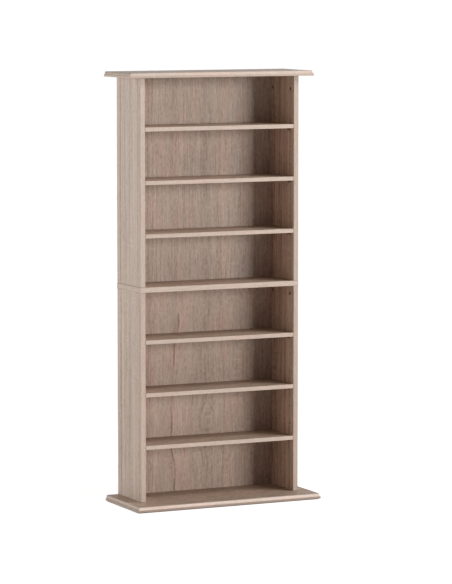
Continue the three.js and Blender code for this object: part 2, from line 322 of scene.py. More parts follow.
def bell(tree, square, narrowness=1.0):
    """A bell curve: e to the power of minus the square of a distance, times a narrowness."""
    return calc(tree, "EXPONENT", calc(tree, "MULTIPLY", square, -narrowness))


def colour_ramp(tree, value, stops):
    """The colour at a value, blended between stops: places in rising order, each with a colour."""
    made = node(tree, "ValToRGB", {"Fac": value})
    elements = made.color_ramp.elements
    for number, (position, colour) in enumerate(stops):
        stop = elements[number] if number < 2 else elements.new(position)
        stop.position = position
        stop.color = colour
    return made.outputs["Color"]


def print_group(name, inputs, outputs):
    """A node group that takes numbers and gives outputs of the kinds told, with its two inner ends."""
    group = bpy.data.node_groups.new(name, "ShaderNodeTree")
    for socket in inputs.split():
        group.interface.new_socket(socket, in_out="INPUT", socket_type="NodeSocketFloat")
    for socket, kind in outputs.items():
        group.interface.new_socket(socket, in_out="OUTPUT", socket_type="NodeSocket" + kind)
    return group, group.nodes.new("NodeGroupInput").outputs, group.nodes.new("NodeGroupOutput").inputs


def grain_lines():
    """Which line of the grain lies at a place, in metres across the board, as a node group.

    The lines wander as a slow noise and tremble as a quick one. Round an eye they step aside: with u
    and v the ways across and along from the eye over its width and length, a line moves out by u times
    the bell curve of u and v, and a narrow bell in the middle closes the lines into rings."""
    group, given, result = print_group("grain_lines", "Across Along Sheet Heart Eye", {"Line": "Float"})
    plus, minus, times, over = sums_in(group)
    across, along, sheet = given["Across"], given["Along"], given["Sheet"]
    slow = swing(group, grain_noise(group, "slow", across, along, sheet), SLOW_WANDER)
    quick = swing(group, grain_noise(group, "quick", across, along, sheet), QUICK_WANDER)
    u = over(minus(across, given["Heart"]), EYE_WIDTH)
    v = over(minus(along, given["Eye"]), EYE_LENGTH)
    squares = plus(times(u, u), times(v, v))
    aside = times(times(u, bell(group, squares)), -EYE_PUSH)
    rings = times(bell(group, squares, KNOT_NARROWNESS), KNOT_RISE)
    group.links.new(plus(plus(plus(across, slow), quick), plus(aside, rings)), result["Line"])
    return group


def oak_figure():
    """The printed oak on the grain's lines, as a node group: colour, roughness and height.

    The tone is a sum of noises that are all drawn out along the grain: broad zones, long streaks,
    short broken streaks, flecks and hair lines, less the peaks of a fine noise for pores, and plus saw
    marks, short bars across the grain that show in patches. A split is a thin dark line with a pale
    flank that winds along the grain in stretches: a bell curve of the distance from it. A zone and a
    blush given from outside shift the tone and the hue, the straightness is the strength of the long
    streaks, the contrast draws the tone towards the mean, and the cast says how pink or olive the
    patches turn."""
    group, given, result = print_group(
        "oak_figure", "Line Across Along Sheet Zone Blush Contrast Cast Split Straightness",
        {"Color": "Color", "Roughness": "Float", "Height": "Float"})
    plus, minus, times, over = sums_in(group)
    line, across = given["Line"], given["Across"]

    def sampled(name, place=line):
        return grain_noise(group, name, place, given["Along"], given["Sheet"])

    def patches(name, place=line):
        return share_between(group, sampled(name, place), *NOISE_EDGES[name])

    def split_bell(offset):
        reach = over(minus(from_split, offset), SPLIT_WIDTH)
        return bell(group, times(reach, reach))

    saw = times(patches("saw_bar", across), patches("saw_patch", across))
    pore = patches("pore")
    from_split = plus(minus(line, given["Split"]), swing(group, sampled("split_wander"), SPLIT_WANDER))
    split = minus(times(split_bell(SPLIT_FLANK), SPLIT_LIGHT), times(split_bell(0.0), SPLIT_DARK))
    noises = {name: sampled(name) for name in TONE_SWINGS}

    tone = plus(given["Zone"], times(swing(group, sampled("streak"), STREAK_SWING), given["Straightness"]))
    for name, width in TONE_SWINGS.items():
        tone = plus(tone, swing(group, noises[name], width))
    tone = plus(tone, times(split, patches("split_patch")))
    tone = minus(plus(tone, times(saw, SAW_LIGHT)), times(pore, PORE_DARK))
    tone = calc(group, "MULTIPLY_ADD", tone, given["Contrast"], 0.5)
    colour = colour_ramp(group, tone, [(position, linear(*shade)) for position, shade in OAK_SHADES])
    hue = plus(sampled("hue"), given["Blush"])
    for edges, cast in ((PINK_EDGES, PINK_CAST), (OLIVE_EDGES, OLIVE_CAST)):
        share = times(share_between(group, hue, *edges), given["Cast"])
        colour = blended(group, share, colour, cast, "MULTIPLY")
    rough = calc(group, "MULTIPLY_ADD", noises["broken"], BROKEN_ROUGHNESS, MEAN_ROUGHNESS)
    height = minus(swing(group, noises["broken"], BROKEN_RELIEF), times(saw, SAW_RELIEF))
    group.links.new(colour, result["Color"])
    group.links.new(plus(rough, times(pore, PORE_ROUGHNESS)), result["Roughness"])
    group.links.new(minus(height, pore), result["Height"])
    return group


def give_skin(tree, colour, roughness, height, relief, shine=0.5, metal=0.0):
    """Ends a material's tree in one skin. The relief is the strength and the depth of its height."""
    bump = node(tree, "Bump", {"Strength": relief[0], "Distance": relief[1], "Height": height})
    skin = node(tree, "BsdfPrincipled", {
        "Base Color": colour, "Roughness": roughness, "Normal": bump, "Metallic": metal,
        "Specular IOR Level": shine})
    node(tree, "OutputMaterial", {"Surface": skin})


GRAIN_LINES = grain_lines()
OAK_FIGURE = oak_figure()


def oak_foil(name, grain, sheet, tint=FACE_TINT, contrast=1.0, cast=0.3, stripes=None, heart=FAR_OFF,
             eye=0.0, split=FAR_OFF, strip_tint=None, strip=(0.0, 0.0), shine=0.32, straightness=0.6,
             swell=0.0):
    """Oak foil with its grain along the axis numbered grain, cut from the print at a sheet of its own.

    Across the grain it reads the sum of the other two coordinates, so that the print wraps round an
    edge that runs with the grain. Stripes are places across in metres, each with a tone and a blush of
    its own, blended from one to the next by a ramp that holds both raised by a half, and their tone
    can swell along the grain as a sine wave. The heart and the eye are the rings' places across and
    along, the split has its place across, and FAR_OFF is beyond every piece. Between the two heights
    of a strip the foil can have a second tint."""
    made, tree = empty_material(name)
    place = node(tree, "SeparateXYZ", {0: place_in(tree)}).outputs
    across = calc(tree, "ADD", *[place[axis] for axis in range(3) if axis != grain])
    given = {"Across": across, "Along": place[grain], "Sheet": sheet}
    line = node(tree, "Group", {**given, "Heart": heart, "Eye": eye}, node_tree=GRAIN_LINES)
    given.update({"Line": line, "Contrast": contrast, "Cast": cast, "Split": split,
                  "Straightness": straightness})
    if stripes:
        first, last = stripes[0][0], stripes[-1][0]
        share = node(tree, "MapRange", {"Value": line, "From Min": first, "From Max": last})
        stops = [((at - first) / (last - first), (0.5 + tone, 0.5 + blush, 0.5, 1))
                 for at, tone, blush in stripes]
        parts = node(tree, "SeparateColor", {0: colour_ramp(tree, share, stops)}).outputs
        wave = calc(tree, "SINE", calc(tree, "MULTIPLY", place[grain], math.tau / SWELL_LENGTH))
        zone = calc(tree, "MULTIPLY_ADD", wave, -swell, parts[0])
        given["Zone"] = calc(tree, "SUBTRACT", zone, 0.5)
        given["Blush"] = calc(tree, "SUBTRACT", parts[1], 0.5)
    figure = node(tree, "Group", given, node_tree=OAK_FIGURE).outputs
    # On the moulded boards this strip is the ovolo, and its tint paints light: the ovolo lighter than the
    # band, a painted highlight. On the base board the band is also darker, a painted shade.
    if strip_tint:
        above = share_between(tree, place[2], strip[0] - STRIP_BLUR, strip[0] + STRIP_BLUR)
        below = share_between(tree, place[2], strip[1] + STRIP_BLUR, strip[1] - STRIP_BLUR)
        tint = blended(tree, calc(tree, "MULTIPLY", above, below), tint, strip_tint)
    colour = blended(tree, 1.0, figure["Color"], tint, "MULTIPLY")
    give_skin(tree, colour, figure["Roughness"], figure["Height"], FOIL_RELIEF, shine)
    return made


CHIP_SQUASH = (1.0, 1.0, 1.6)
CHIP_SCALE = 700.0
CHIP_TANS = linear(136, 108, 80), linear(190, 163, 128)
CHIP_EDGES = (0.75, 0.35)
CHIP_GAP = linear(92, 70, 50)
DUST_SCALE = 2600.0
DUST_TAN = linear(170, 146, 116)


def chipboard():
    """Pressed wood chips, as a raw edge shows them: flat chips from a stretched cell pattern, each with
    a tan of its own, dark gaps between them, pale dust, and a coarse relief."""
    made, tree = empty_material("raw_chipboard")
    squashed = node(tree, "Mapping", {"Vector": place_in(tree), "Scale": CHIP_SQUASH})
    chips = node(tree, "TexVoronoi", {"Vector": squashed, "Scale": CHIP_SCALE}).outputs
    dust = cloud(tree, squashed, DUST_SCALE, octaves=3.0)
    own = node(tree, "SeparateXYZ", {0: chips["Color"]}).outputs[0]
    colour = blended(tree, own, *CHIP_TANS)
    chip = share_between(tree, chips["Distance"], *CHIP_EDGES)
    colour = blended(tree, calc(tree, "SUBTRACT", 1.0, chip), colour, CHIP_GAP)
    colour = blended(tree, calc(tree, "MULTIPLY", dust, 0.5), colour, DUST_TAN)
    height = calc(tree, "ADD", own, dust)
    give_skin(tree, colour, roughness=0.85, height=height, relief=(0.6, 0.3 * mm), shine=0.2)
    return made


RAW_CHIPBOARD = chipboard()
BORE_SIDES = 24
BORE_FROM = -3 / 8
CREASE = math.radians(32)
PLANE_DECIMALS = 7
TOUCHING = 0.01 * mm


def square_loop(planes, centre, half, number):
    """The numbers of the crossing points round a square of a face's grid, counter-clockwise from its
    lowest corner, and how many steps it is to the opposite corner."""
    b, c = [np.flatnonzero(np.abs(p - middle) <= half + TOUCHING) for p, middle in zip(planes, centre)]
    out = [number[b, c[0]], number[b[-1], c[1:]]]
    back = [number[b[-2::-1], c[-1]], number[b[0], c[-2:0:-1]]]
    return np.concatenate(out + back), len(b) + len(c) - 2


def bore(axis, side, centre, half, profile, through=False):
    """A round hole: into the side of an axis that side is the sign of, at a point on that face, in a
    square of the face, with a radius at each depth."""
    return {"axis": axis, "side": side, "centre": centre, "half": half, "profile": profile,
            "through": through}


def bore_rings(hole, face_at):
    """The points of a bore's rings by ring, angle and axis: a circle of each radius of its profile,
    as deep below the face as the profile says."""
    axis, across, up = [(hole["axis"] + step) % 3 for step in range(3)]
    angle = math.tau * (np.arange(BORE_SIDES) / BORE_SIDES + BORE_FROM)
    radius, depth = np.array(hole["profile"]).T[..., None]
    rings = np.empty((len(radius), BORE_SIDES, 3))
    rings[..., across] = hole["centre"][across] + radius * np.cos(angle)
    rings[..., up] = hole["centre"][up] + radius * np.sin(angle)
    rings[..., axis] = face_at - hole["side"] * depth
    return rings


def ring_walls(rings):
    """Quads that join each ring of point numbers to the next."""
    beside = np.roll(rings, -1, 1)
    return np.stack([rings[:-1], beside[:-1], beside[1:], rings[1:]], -1).reshape(-1, 4)


def board_of_cells(planes, place, slots, bores, finish_of_side):
    """A board as a block of cells between planes across X, Y and Z.

    Cells in a slot are left out, and the surface is every cell wall with board on one side only. place
    moves the points where planes cross to where they lie on the finished board. A bore takes the
    walls of its square out of one face, or of two if it goes right through, and puts rings there:
    the square joins its mouth by two half rings, and each further radius and depth adds a ring.
    Returns points, faces and the finish of each face: a side's own, or 0, and 1 inside slots and bores."""
    planes = [np.unique(np.round(p, PLANE_DECIMALS)) for p in planes]
    middles = [(p[1:] + p[:-1]) / 2 for p in planes]
    board = np.ones([len(m) for m in middles], int)
    for slot in slots:
        inside = [(m > low) & (m < high) for m, low, high in zip(middles, *slot)]
        board[np.ix_(*inside)] = 0
    number = np.arange(math.prod(map(len, planes))).reshape([len(p) for p in planes])
    points = [place(np.stack(np.meshgrid(*planes, indexing="ij"), -1)).reshape(-1, 3)]
    count = number.size
    faces = []
    finishes = []
    for axis in range(3):
        around = [(axis + 1) % 3, (axis + 2) % 3]
        walls = np.diff(board, axis=axis, prepend=0, append=0)
        where = np.argwhere(walls)
        sign = -walls[tuple(where.T)]
        corners = []
        for step in ((0, 0), (1, 0), (1, 1), (0, 1)):
            at = where.copy()
            at[:, around] += step
            corners.append(number[tuple(at.T)])
        quads = np.stack(corners, 1)
        quads[sign < 0] = quads[sign < 0, ::-1]
        last = len(planes[axis]) - 1
        outer = where[:, axis] == np.where(sign > 0, last, 0)
        cell = [middles[a][where[:, a]] for a in around]
        kept = np.ones(len(quads), bool)
        for hole in [b for b in bores if b["axis"] == axis]:
            side = hole["side"]
            centre = [hole["centre"][a] for a in around]
            within = outer & (np.maximum(*[np.abs(m - c) for m, c in zip(cell, centre)]) < hole["half"])
            kept &= ~(within & ((sign == side) | hole["through"]))
            ring_points = bore_rings(hole, planes[axis][last if side > 0 else 0]).reshape(-1, 3)
            rings = count + np.arange(len(ring_points)).reshape(-1, BORE_SIDES)
            points.append(ring_points)
            count += len(ring_points)
            mouths = [(side, rings[0])] + ([(-side, rings[-1])] if hole["through"] else [])
            for face_side, ring in mouths:
                sheet = number.take(last if face_side > 0 else 0, axis=axis)
                sheet = sheet if around[0] < around[1] else sheet.T
                loop, opposite = square_loop([planes[a] for a in around], centre, hole["half"], sheet)
                halfway = BORE_SIDES // 2
                first = np.concatenate([loop[:opposite + 1], ring[halfway::-1]])
                second = np.concatenate([loop[opposite:], loop[:1], ring[:1], ring[:halfway - 1:-1]])
                faces += [half_ring[::face_side].tolist() for half_ring in (first, second)]
                finishes += [finish_of_side.get((axis, face_side), 0)] * 2
            wall = ring_walls(rings)
            faces += wall[:, ::side].tolist()
            finishes += [1] * len(wall)
            if not hole["through"]:
                faces.append(rings[-1][::side].tolist())
                finishes.append(1)
        side_finish = np.array([finish_of_side.get((axis, s), 0) for s in sign])
        faces += quads[kept].tolist()
        finishes += np.where(outer, side_finish, 1)[kept].tolist()
    points = np.concatenate(points)
    used = np.unique(np.concatenate([np.array(face) for face in faces]))
    renumber = np.zeros(len(points), int)
    renumber[used] = np.arange(len(used))
    return points[used], [renumber[face].tolist() for face in faces], finishes


def inner_planes(low, high, bores, slots):
    """For each axis the planes between a board's faces that its slots and its bores' squares need."""
    slot_planes = np.array(slots).reshape(-1, 2, 3)
    planes = []
    for axis in range(3):
        squares = [b["centre"][axis] + s * b["half"] for b in bores if b["axis"] != axis for s in (-1, 1)]
        inner = np.concatenate([squares, slot_planes[:, :, axis].ravel()])
        planes.append(inner[(inner > low[axis]) & (inner < high[axis])])
    return planes


def mesh_piece(name, mesh_parts, finishes, body="carcass"):
    """A mesh piece from points, faces and the faces' finishes, for the node of its name. Edges sharper
    than the crease stay sharp, and the broad faces rule the shading of the rounds between them."""
    points, faces, finish_of_face = mesh_parts
    mesh = bpy.data.meshes.new(name)
    mesh.from_pydata(points.tolist(), [], faces)
    for finish in finishes:
        mesh.materials.append(finish)
    mesh.polygons.foreach_set("material_index", np.asarray(finish_of_face, np.int32))
    mesh.shade_smooth()
    mesh.set_sharp_from_angle(angle=CREASE)
    piece = put_in_scene(name, mesh)
    weigh = piece.modifiers.new("broad faces first", "WEIGHTED_NORMAL")
    weigh.keep_sharp = True
    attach(piece, body)
    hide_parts(name)


FOOT_RADIUS = 1.2 * mm
BAND_HEIGHT = 6.0 * mm
BAND_EDGE_RADIUS = 0.8 * mm
STEP_WIDTH = 2.5 * mm
STEP_RISE = 0.05 * mm
MOULDING_INSET = 6.5 * mm
OVOLO_STEPS = 14
CORNER_STEPS = 4
REAR_ROUND = 0.4 * mm
AT_EDGE = 1.0 * mm


def quarter(steps):
    """Sine and cosine over a quarter turn."""
    angle = np.linspace(0, math.pi / 2, steps + 1)
    return np.sin(angle), np.cos(angle)


def moulding_outline(thickness):
    """Insets and heights of the moulding from the bottom up: a quarter circle for the foot, the band,
    a quarter circle over its edge, a nearly level step, and a quarter ellipse up to the top face."""
    sin, cos = quarter(CORNER_STEPS)
    foot = FOOT_RADIUS * (1 - sin), FOOT_RADIUS * (1 - cos)
    band = BAND_EDGE_RADIUS * (1 - cos), BAND_HEIGHT - BAND_EDGE_RADIUS * (1 - sin)
    sin, cos = quarter(OVOLO_STEPS)
    rise = BAND_HEIGHT + STEP_RISE
    ovolo = MOULDING_INSET - (MOULDING_INSET - STEP_WIDTH) * cos, rise + (thickness - rise) * sin
    return np.concatenate([foot, band, ovolo], 1)


def moulded_board(name, bores, slots, finishes):
    """A board moulded on three sides: the outermost points of the block of cells at each height, those
    within AT_EDGE of a side, are drawn in by the moulding's inset there at the front and both ends, and
    by a quarter circle at the back."""
    low, high = (np.array(corner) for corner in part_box(name))
    insets, heights = moulding_outline(high[2] - low[2])

    def place(points):
        height = points[..., 2] - low[2]
        inset = np.interp(height, heights, insets)
        to_face = np.minimum(height, high[2] - low[2] - height)
        over = np.clip(1 - to_face / REAR_ROUND, 0, 1)
        rear = REAR_ROUND * (1 - np.sqrt(1 - over ** 2))
        x, y = points[..., 0], points[..., 1]
        moved = points.copy()
        moved[..., 0] += inset * (x < low[0] + AT_EDGE) - inset * (x > high[0] - AT_EDGE)
        moved[..., 1] += inset * (y < low[1] + AT_EDGE) - rear * (y > high[1] - AT_EDGE)
        return moved

    inner = inner_planes(low, high, bores, slots)
    planes = [np.concatenate([[low[axis], high[axis]], inner[axis]]) for axis in range(3)]
    planes[2] = np.concatenate([planes[2], low[2] + heights])
    shape = board_of_cells(planes, place, slots, bores, LEVEL_BOARD_SIDES)
    mesh_piece(name, shape, finishes)


ENDS = ("front", "rear")
SIDES = {"left": -1, "right": 1}
CORNERS = [(end, side) for end in ENDS for side in SIDES]
GROOVE_DEPTH = 5.0 * mm
GROOVE_CLEARANCE = 0.25 * mm
SCREW_HEAD_RADIUS = 5.0 * mm
SCREW_HEAD_DEPTH = 2.75 * mm
SCREW_NECK_RADIUS = 3.4 * mm
BORE_CLEARANCE = 0.25 * mm
SQUARE_HALF = 8.0 * mm


def middle_of(name):
    """The middle of a node's box."""
    low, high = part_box(name)
    return (low + high) / 2


def groove(face, into):
    """The slot for a back panel across a level board, from a face of it into its thickness."""
    panel_low, panel_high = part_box("lower_back_panel")
    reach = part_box("lower_right_side")[0].x + GROOVE_DEPTH
    floor_of_groove = face + into * GROOVE_DEPTH
    return ([-reach, panel_low.y - GROOVE_CLEARANCE, min(face, floor_of_groove)],
            [reach, panel_high.y + GROOVE_CLEARANCE, max(face, floor_of_groove)])


def screw_bores(board, half=SQUARE_HALF):
    """Through bores for a level board's screws, each with a counterbore for the head below."""
    low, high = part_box(f"{board}_board")
    head, neck = SCREW_HEAD_RADIUS + BORE_CLEARANCE, SCREW_NECK_RADIUS + BORE_CLEARANCE
    profile = [(head, 0), (head, SCREW_HEAD_DEPTH), (neck, SCREW_HEAD_DEPTH), (neck, high.z - low.z)]
    centres = [middle_of(f"{board}_screw_{end}_{side}") for end, side in CORNERS]
    return [bore(2, -1, centre, half, profile, through=True) for centre in centres]


def nail_bores():
    """Blind holes in the base board's underside for the glides' nails."""
    nails = [middle_of(f"glide_{end}_{side}") for end, side in CORNERS]
    return [bore(2, -1, nail, SQUARE_HALF, NAIL_HOLE) for nail in nails]


NAIL_HOLE = [(1.25 * mm, 0), (1.25 * mm, 10.25 * mm)]
# Which finish of a level board's list each side takes: faces the first, raw rear edge, ends and front
LEVEL_BOARD_SIDES = {(1, 1): 1, (0, -1): 2, (0, 1): 2, (1, -1): 3}
LEVEL_FINISH = {"tint": (1.01, 0.95, 0.88, 1), "contrast": 1.4, "shine": 0.12}
EDGE_CONTRAST = 0.42
END_TINT = (0.97, 0.95, 0.91, 1)
# Painted light on the base board's moulding: the band and the rest of the front and ends outside the ovolo
# are tinted darker, a painted shade near the floor. The front's ovolo is tinted much lighter, a painted
# highlight that stops STRIP_END short of the top face.
BASE_BAND_PAINTED_SHADE = (0.78, 0.76, 0.75, 1)
BASE_END_PAINTED_SHADE = (0.76, 0.73, 0.70, 1)
OVOLO_PAINTED_HIGHLIGHT = (1.66, 1.72, 1.78, 1)
STRIP_END = 2.0 * mm
base_low, base_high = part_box("base_board")
base_strip = (base_low.z + BAND_HEIGHT, base_high.z - STRIP_END)
moulded_board("base_board", screw_bores("base") + nail_bores(), [groove(base_high.z, -1)], [
    oak_foil("oak_base_face", GRAIN_X, 41.0, **LEVEL_FINISH),
    RAW_CHIPBOARD,
    oak_foil("oak_base_end", GRAIN_Y, 43.0, BASE_END_PAINTED_SHADE, EDGE_CONTRAST, strip_tint=END_TINT,
             strip=base_strip),
    oak_foil("oak_base_front", GRAIN_X, 45.0, BASE_BAND_PAINTED_SHADE, EDGE_CONTRAST, strip_tint=OVOLO_PAINTED_HIGHLIGHT,
             strip=base_strip),
])

# Four round glides under the base board, each moulded in one with the nail that holds it: a low disc
# with soft edges on the floor, and a plain pointed shank up in the board.
GLIDE_RADIUS = 9.0 * mm
GLIDE_DISC = 1.8 * mm
GLIDE_EDGE = 0.5 * mm
NAIL_RADIUS = 1.0 * mm
NAIL_POINT = 1.5 * mm
NAIL_TIP_RADIUS = 0.2 * mm
TURN = np.linspace(0, math.tau, 24, endpoint=False)
UP, RIGHT = (0, 0, 1), (1, 0, 0)


def turned(rings, centre, along, across, turn=TURN):
    """Points and faces of a turned piece: at each place along its axis a ring of points, whose distance
    from the axis is one number, or one for every angle of the turn. Quads join each ring to the next,
    and one face closes each end."""
    along, across = np.array(along, float), np.array(across, float)
    third = np.cross(along, across)
    distance = np.stack([np.broadcast_to(ring, turn.shape) for ring, _ in rings])[..., None]
    reach = np.array([place for _, place in rings])[:, None, None]
    spoke = np.cos(turn)[:, None] * across + np.sin(turn)[:, None] * third
    points = np.array(centre, float) + reach * along + distance * spoke
    number = np.arange(len(rings) * len(turn)).reshape(len(rings), len(turn))
    ends = [number[0, ::-1].tolist(), number[-1].tolist()]
    return points.reshape(-1, 3), ring_walls(number).tolist() + ends


def soft_corner(radius, place, size, start):
    """The rings of an outer corner, a quarter circle: from the end face round to the side where start is
    1, and from the side round to the end face where it is -1. The place is the end face's."""
    sin, cos = quarter(CORNER_STEPS)
    rings = [(radius - size * (1 - s), place + start * size * (1 - c)) for s, c in zip(sin, cos)]
    return rings[::start]


def fitting(name, shape, finish):
    """A small fitting on the carcass, all of one finish."""
    points, faces = shape
    mesh_piece(name, (points, faces, [0] * len(faces)), [finish])


def cloudy_finish(name, colour, deep, clouds, edges, roughness, grain, relief, metal=0.0):
    """A finish with a cloudy noise in it: between the edges of the noise the colour goes from a deep
    share of itself to all of it, and the roughness goes from one value to another as the noise does.
    The relief is that of a fine grain. Clouds and grain are a scale and a number of octaves."""
    made, tree = empty_material(name)
    place = place_in(tree)
    cloudy = cloud(tree, place, *clouds)
    deep_colour = tuple(deep * value for value in colour[:3]) + (1.0,)
    tinted = blended(tree, share_between(tree, cloudy, *edges), deep_colour, colour)
    rough = node(tree, "MapRange", {"Value": cloudy, "To Min": roughness[0], "To Max": roughness[1]})
    give_skin(tree, tinted, rough, cloud(tree, place, *grain), relief, metal=metal)
    return made


def plastic(name, colour, roughness):
    """Moulded plastic: its colour with a faint cloud in it, a fine grain on the skin, and small changes
    of gloss."""
    return cloudy_finish(name, colour, deep=0.72, clouds=(320.0, 3.0), edges=(0.3, 0.7),
                         roughness=(roughness - 0.08, roughness + 0.10), grain=(5200.0, 2.0),
                         relief=(0.25, 0.03 * mm))


def foot_of(name):
    """The middle of the underside of a node's box, and the height of the box."""
    low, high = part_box(name)
    return ((low.x + high.x) / 2, (low.y + high.y) / 2, low.z), high.z - low.z


GLIDE_PLASTIC = plastic("glide_plastic", linear(140, 122, 107), 0.42)
for end, side in CORNERS:
    foot, height = foot_of(f"glide_{end}_{side}")
    rings = soft_corner(GLIDE_RADIUS, 0, GLIDE_EDGE, 1)
    rings += soft_corner(GLIDE_RADIUS, GLIDE_DISC, GLIDE_EDGE, -1)
    rings += [(NAIL_RADIUS, GLIDE_DISC), (NAIL_RADIUS, height - NAIL_POINT), (NAIL_TIP_RADIUS, height)]
    fitting(f"glide_{end}_{side}", turned(rings, foot, UP, RIGHT), GLIDE_PLASTIC)

# The four side panels: chipboard in oak foil with the grain upright and a lighter band on the front
# edge. The inner face has two rows of peg holes and a bore for each cam, the ends have the bolt and
# screw holes, and a groove near the back takes the back panel. The rear edge is raw.
EDGE_ROUND = 0.8 * mm
ROUND_STEPS = 3
END_SQUARE_HALF = 6.0 * mm
ROWS_PER_SHELF = 3
PEG_HOLE = [(2.5 * mm, 0), (2.5 * mm, 9.25 * mm)]
CAM_RADIUS = 5.0 * mm
CAM_HOLE = [(5.25 * mm, 0), (5.25 * mm, 10.75 * mm)]
BOLT_HOLE_RADIUS = 2.75 * mm
PILOT_HOLE = [(3.25 * mm, 0), (3.25 * mm, 37.25 * mm)]
PAST_END = 1.0 * mm


def plain_board(name, edge_round, bores, slots, sides, finishes, body="carcass"):
    """A flat board with its edges and corners rounded. A crossing point is as far beyond the core, the
    board less its rounding, as its furthest coordinate says, but in the direction of all of them, so
    that the outer layer of cells turns into quarter cylinders and the corners into eighths of spheres."""
    low, high = (np.array(corner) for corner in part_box(name))

    def place(points):
        core = np.clip(points, low + edge_round, high - edge_round)
        beyond = points - core
        reach = np.abs(beyond).max(-1, keepdims=True)
        length = np.linalg.norm(beyond, axis=-1, keepdims=True)
        return core + beyond * np.divide(reach, length, out=np.ones_like(length), where=length > 0)

    insets = edge_round * (1 - np.tan(np.linspace(0, math.pi / 4, ROUND_STEPS + 1)))
    inner = inner_planes(low, high, bores, slots)
    planes = [np.concatenate([low[axis] + insets, high[axis] - insets, inner[axis]]) for axis in range(3)]
    mesh_piece(name, board_of_cells(planes, place, slots, bores, sides), finishes, body)


def panel_faces(half, side):
    """Where across the tower the outer and the inner face of a side panel lie."""
    low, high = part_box(f"{half}_{side}_side")
    return (low.x, high.x) if side == "left" else (high.x, low.x)


def row_of(half, end, side):
    """How far back a row of peg holes lies, with the cam and the bolt in line with it."""
    return middle_of(f"{half}_shelf_1_peg_{end}_{side}").y


def side_bores(half, side, screws_of):
    """The peg rows, cam bores, bolt holes and pilot holes of one side panel, where its pegs, cams and
    screws are."""
    low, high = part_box(f"{half}_{side}_side")
    inward = -SIDES[side]
    inner_face = panel_faces(half, side)[1]
    bores = []
    for end in ENDS:
        back = row_of(half, end, side)
        lowest, next_shelf = [middle_of(f"{half}_shelf_{number}_peg_{end}_{side}").z for number in (1, 2)]
        step = (next_shelf - lowest) / ROWS_PER_SHELF
        for row in range(2 * ROWS_PER_SHELF + 1):
            bores.append(bore(0, inward, (inner_face, back, lowest + row * step), SQUARE_HALF, PEG_HOLE))
        cam_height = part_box(f"{half}_{side}_cam_{end}")[0].z + CAM_RADIUS
        bores.append(bore(0, inward, (inner_face, back, cam_height), SQUARE_HALF, CAM_HOLE))
        bolt_hole = [(BOLT_HOLE_RADIUS, 0), (BOLT_HOLE_RADIUS, high.z - cam_height)]
        bores.append(bore(2, 1, ((low.x + high.x) / 2, back, high.z), END_SQUARE_HALF, bolt_hole))
        bores.append(bore(2, -1, middle_of(f"{screws_of}_screw_{end}_{side}"), END_SQUARE_HALF, PILOT_HOLE))
    return bores


def side_groove(half, side):
    """The slot for the back panel up the inner face of a side panel, out at both its ends."""
    low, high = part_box(f"{half}_{side}_side")
    panel_low, panel_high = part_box(f"{half}_back_panel")
    inner_face = panel_faces(half, side)[1]
    across = sorted([inner_face, inner_face + SIDES[side] * GROOVE_DEPTH])
    return ([across[0], panel_low.y - GROOVE_CLEARANCE, low.z - PAST_END],
            [across[1], panel_high.y + GROOVE_CLEARANCE, high.z + PAST_END])


def stripes_from(face, stripes, lean=0.0):
    """Stripes given in mm along a face from the tower's middle, at the places where the print is read
    there: the face's own coordinate plus the distance. Their tone rises by the lean times the distance."""
    return [(face + across * mm, tone + lean * across * mm, blush) for across, tone, blush in stripes]


# The inner faces' tint makes them lighter and redder than the outer faces: partly a redder print, partly
# painted warm bounce light inside the bays.
INNER_TINT = (1.27, 1.15, 1.08, 1)
# The right front edges are tinted darker than the left ones: painted shade that evens out the lamps'
# stronger light on the right.
FRONT_EDGE_TINTS = {"lower_left": (1.19, 1.19, 1.17, 1), "upper_left": (1.25, 1.27, 1.28, 1),
                    "lower_right": (1.07, 1.08, 1.07, 1), "upper_right": (1.07, 1.08, 1.07, 1)}
# The print's stripes across a side panel, from the front edge back: the place, tone and blush. The two
# faces of a panel are different lengths of the print. The inner face's stripes also hold painted shade:
# they run lighter near the front edge and darker towards the back of the bay.
OUTER_STRIPES = [(-48, -0.05, 0.0), (-36, -0.12, 0.0), (4, 0.10, 0.1), (27, -0.11, 0.05), (46, 0.0, 0.0),
                 (63, -0.12, -0.1), (82, 0.10, 0.05), (93, -0.28, 0.0), (99, -0.04, -0.1), (120, 0.0, 0.0)]
INNER_STRIPES = [(-48, 0.05, 0.0), (-33, 0.20, 0.0), (-23, -0.02, 0.0), (-11, 0.16, 0.05), (8, -0.04, 0.05),
                 (22, 0.02, 0.05), (42, -0.16, 0.05), (68, -0.05, 0.0), (95, -0.26, 0.0), (120, 0.0, 0.0)]
for half, screws_of, sheet in (("lower", "base", 0.0), ("upper", "middle", 3.0)):
    for side, hand in SIDES.items():
        tag = f"oak_{half}_{side}"
        outer_face, inner_face = panel_faces(half, side)
        outer = oak_foil(tag + "_outside", GRAIN_Z, 11.0 + hand + sheet, contrast=0.80, cast=0.05,
                         stripes=stripes_from(outer_face, OUTER_STRIPES), straightness=2.0)
        inner = oak_foil(tag + "_inside", GRAIN_Z, 21.0 + hand + sheet, INNER_TINT, contrast=1.1, cast=0.28,
                         stripes=stripes_from(inner_face, INNER_STRIPES), straightness=2.2)
        edge_tint = FRONT_EDGE_TINTS[f"{half}_{side}"]
        front = oak_foil(tag + "_front", GRAIN_Z, 31.0 + hand + sheet, edge_tint, EDGE_CONTRAST)
        sides = {(0, hand): 0, (0, -hand): 2, (1, -1): 3, (1, 1): 1, (2, -1): 1, (2, 1): 1}
        plain_board(f"{half}_{side}_side", EDGE_ROUND, side_bores(half, side, screws_of),
                    [side_groove(half, side)], sides, [outer, RAW_CHIPBOARD, inner, front])

